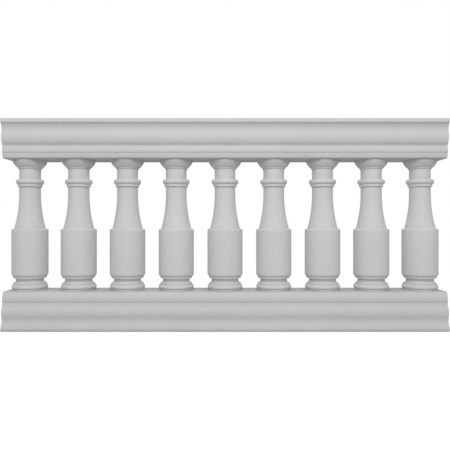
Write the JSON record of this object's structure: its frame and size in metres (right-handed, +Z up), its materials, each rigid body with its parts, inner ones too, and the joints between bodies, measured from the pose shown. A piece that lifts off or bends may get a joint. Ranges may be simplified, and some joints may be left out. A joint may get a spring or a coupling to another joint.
{
  "type": "balustrade",
  "caption": "Straight bay of classical stone balustrade: a moulded base rail and a moulded coping rail joined by a row of turned, vase-shaped balusters.",
  "frame": {"origin": "middle of the underside of the bottom rail, on the ground", "axes": "+X along the rails, +Y through the balustrade from front to back, +Z up"},
  "size_m": [2, 0.222, 0.952],
  "materials": {
    "cast_stone": "fine-grained matte cast stone, pale neutral grey",
    "mortar": "matte bedding mortar pointed almost flush, close to the stone in tone"
  },
  "bodies": {
    "root": {"bottom_rail": "cast_stone", "top_rail": "cast_stone", "baluster_1": "cast_stone", "baluster_2": "cast_stone", "baluster_3": "cast_stone", "baluster_4": "cast_stone", "baluster_5": "cast_stone", "baluster_6": "cast_stone", "baluster_7": "cast_stone", "baluster_8": "cast_stone", "baluster_9": "cast_stone", "lower_bed_1": "mortar", "lower_bed_2": "mortar", "lower_bed_3": "mortar", "lower_bed_4": "mortar", "lower_bed_5": "mortar", "lower_bed_6": "mortar", "lower_bed_7": "mortar", "lower_bed_8": "mortar", "lower_bed_9": "mortar", "upper_bed_1": "mortar", "upper_bed_2": "mortar", "upper_bed_3": "mortar", "upper_bed_4": "mortar", "upper_bed_5": "mortar", "upper_bed_6": "mortar", "upper_bed_7": "mortar", "upper_bed_8": "mortar", "upper_bed_9": "mortar"}
  },
  "joints": []
}
